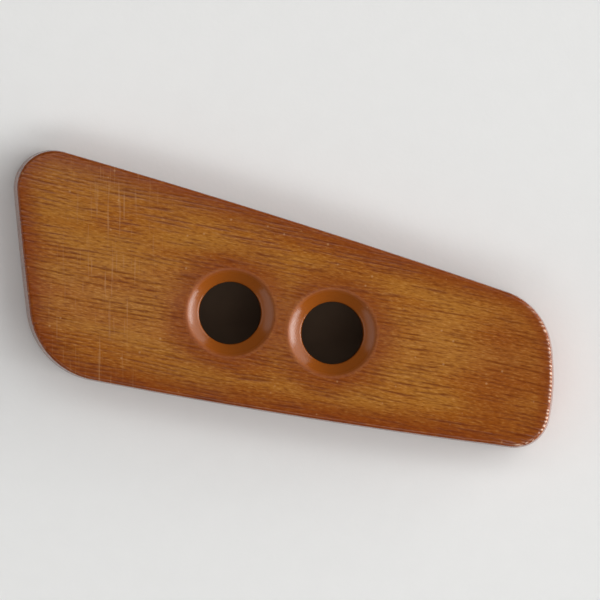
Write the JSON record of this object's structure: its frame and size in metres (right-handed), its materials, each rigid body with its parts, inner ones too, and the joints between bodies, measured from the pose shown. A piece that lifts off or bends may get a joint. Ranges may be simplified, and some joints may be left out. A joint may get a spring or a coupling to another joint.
{
  "type": "two-hole toggle button",
  "caption": "Toggle-shaped sew-on button, a round-cornered trapezoid moulded in wood-look plastic, with dished thread holes and a flat back.",
  "frame": {"origin": "on the flat back face, midway between the two thread holes", "axes": "+X along the hole line towards the narrow end, +Y across the button towards its upper long side, +Z out of the grained face"},
  "size_m": [0.0404, 0.0156, 0.005],
  "materials": {
    "button_plastic": "satin, caramel brown, with a fine moulded wood grain along the hole line on the face and a smooth back"
  },
  "bodies": {
    "root": {"button": "button_plastic"}
  },
  "joints": []
}
